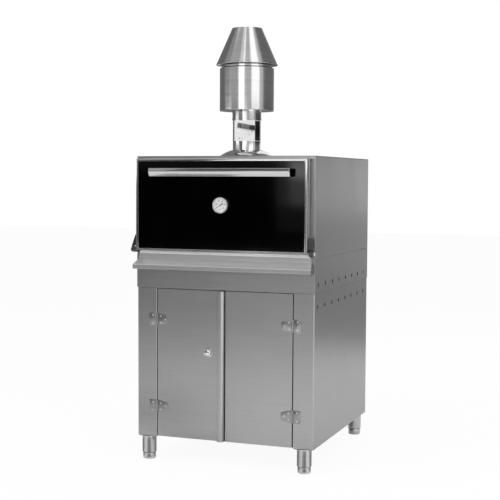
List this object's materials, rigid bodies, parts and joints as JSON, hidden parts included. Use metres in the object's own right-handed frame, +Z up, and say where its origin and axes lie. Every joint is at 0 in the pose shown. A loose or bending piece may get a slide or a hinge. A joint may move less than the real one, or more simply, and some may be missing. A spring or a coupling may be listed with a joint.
{
  "type": "charcoal oven",
  "caption": "Free-standing charcoal oven with a drop-down door, an ash drawer, a two-door cabinet on legs, and a flue with damper, spark drum and cone hat.",
  "frame": {"origin": "centre of the space the whole oven takes up, at floor level under its feet", "axes": "+Z up along the flue, +X to the oven's right as its user faces it, +Y from its doors to its back"},
  "size_m": [0.8076, 0.915, 1.835],
  "materials": {
    "brushed_casing": "fine brushed stainless sheet",
    "polished_steel": "satin polished stainless steel",
    "chromed_fittings": "bright polished",
    "heat_dark_steel": "heat-darkened steel",
    "cast_grate": "rough cast",
    "insulation_blanket": "matt fibre blanket",
    "seal_rope": "woven glass rope",
    "black_enamel": "gloss black enamel",
    "dark_grip": "matt black",
    "white_dial": "matt white print face",
    "needle_black": "matt black",
    "clear_glass": "clear"
  },
  "bodies": {
    "carcass": {"cabinet_side_left": "brushed_casing", "cabinet_side_right": "brushed_casing", "cabinet_back": "brushed_casing", "cabinet_floor": "brushed_casing", "cabinet_shelf": "brushed_casing", "legs": "brushed_casing", "base_side_left": "brushed_casing", "base_side_right": "brushed_casing", "base_floor": "brushed_casing", "base_apron": "brushed_casing", "drawer_rails": "brushed_casing", "sill_bar": "polished_steel", "pivot_brackets": "brushed_casing", "oven_casing_sides": "brushed_casing", "oven_casing_top": "brushed_casing", "rear_cover": "brushed_casing", "oven_front_frame": "brushed_casing", "firebox": "heat_dark_steel", "insulation": "insulation_blanket", "charcoal_grate": "cast_grate", "rack_runners": "heat_dark_steel", "grill_rack": "polished_steel", "flue_pipe": "polished_steel", "flue_skirt": "polished_steel", "flue_collar": "polished_steel", "damper_plate": "brushed_casing", "drum_shell": "polished_steel", "drum_baffle": "heat_dark_steel", "cone_hat": "polished_steel", "hat_brackets": "brushed_casing", "post_hinge_leaves": "chromed_fittings"},
    "ash_drawer": {"drawer_front": "brushed_casing", "drawer_tray": "brushed_casing"},
    "oven_door": {"oven_door_frame": "polished_steel", "oven_door_panel": "black_enamel", "oven_door_liner": "heat_dark_steel", "oven_door_insulation": "insulation_blanket", "oven_door_gasket": "seal_rope", "oven_door_handle": "polished_steel", "oven_door_ears": "brushed_casing", "oven_door_pivot_pins": "chromed_fittings", "thermometer_case": "chromed_fittings", "thermometer_dial": "white_dial", "thermometer_glass": "clear_glass"},
    "needle": {"thermometer_needle": "needle_black"},
    "cabinet_door_left": {"left_door_tray": "brushed_casing", "left_door_pull_strip": "brushed_casing", "left_door_hinge_leaves": "chromed_fittings", "knob_rosette": "chromed_fittings"},
    "cabinet_door_right": {"right_door_tray": "brushed_casing", "right_door_hinge_leaves": "chromed_fittings"},
    "latch": {"latch_knob": "chromed_fittings", "latch_cam": "chromed_fittings"},
    "damper": {"damper_blade": "heat_dark_steel", "damper_lever": "brushed_casing", "damper_knob": "dark_grip"},
    "foot_front_left": {"foot_front_left": "brushed_casing"},
    "foot_front_right": {"foot_front_right": "brushed_casing"},
    "foot_back_left": {"foot_back_left": "brushed_casing"},
    "foot_back_right": {"foot_back_right": "brushed_casing"}
  },
  "joints": [
    {"name": "oven_door_hinge", "type": "hinge", "parent": "carcass", "child": "oven_door", "pos_m": [0, -0.3985, 0.897], "axis": [1, 0, 0], "range_deg": [0, 90]},
    {"name": "ash_drawer_slide", "type": "slide", "parent": "carcass", "child": "ash_drawer", "axis": [0, -1, 0], "range_m": [0, 0.26]},
    {"name": "left_door_hinge", "type": "hinge", "parent": "carcass", "child": "cabinet_door_left", "pos_m": [-0.3015, -0.367, 0.4155], "axis": [0, 0, -1], "range_deg": [0, 110]},
    {"name": "right_door_hinge", "type": "hinge", "parent": "carcass", "child": "cabinet_door_right", "pos_m": [0.3015, -0.367, 0.4155], "axis": [0, 0, 1], "range_deg": [0, 110]},
    {"name": "latch_turn", "type": "hinge", "parent": "cabinet_door_left", "child": "latch", "pos_m": [-0.0665, -0.3635, 0.473], "axis": [0, 1, 0], "range_deg": [0, 90]},
    {"name": "damper_turn", "type": "hinge", "parent": "carcass", "child": "damper", "pos_m": [0, -0.1015, 1.419], "axis": [0, 1, 0], "range_deg": [0, 90]},
    {"name": "needle_turn", "type": "hinge", "parent": "oven_door", "child": "needle", "pos_m": [0.007, -0.4215, 1.086], "axis": [0, 1, 0], "range_deg": [0, 255]},
    {"name": "foot_front_left_turn", "type": "hinge", "parent": "carcass", "child": "foot_front_left", "pos_m": [-0.3475, -0.3435, 0.03], "axis": [0, 0, 1], "continuous": true},
    {"name": "foot_front_right_turn", "type": "hinge", "parent": "carcass", "child": "foot_front_right", "pos_m": [0.3475, -0.3435, 0.03], "axis": [0, 0, 1], "continuous": true},
    {"name": "foot_back_left_turn", "type": "hinge", "parent": "carcass", "child": "foot_back_left", "pos_m": [-0.3475, 0.4255, 0.03], "axis": [0, 0, 1], "continuous": true},
    {"name": "foot_back_right_turn", "type": "hinge", "parent": "carcass", "child": "foot_back_right", "pos_m": [0.3475, 0.4255, 0.03], "axis": [0, 0, 1], "continuous": true}
  ]
}
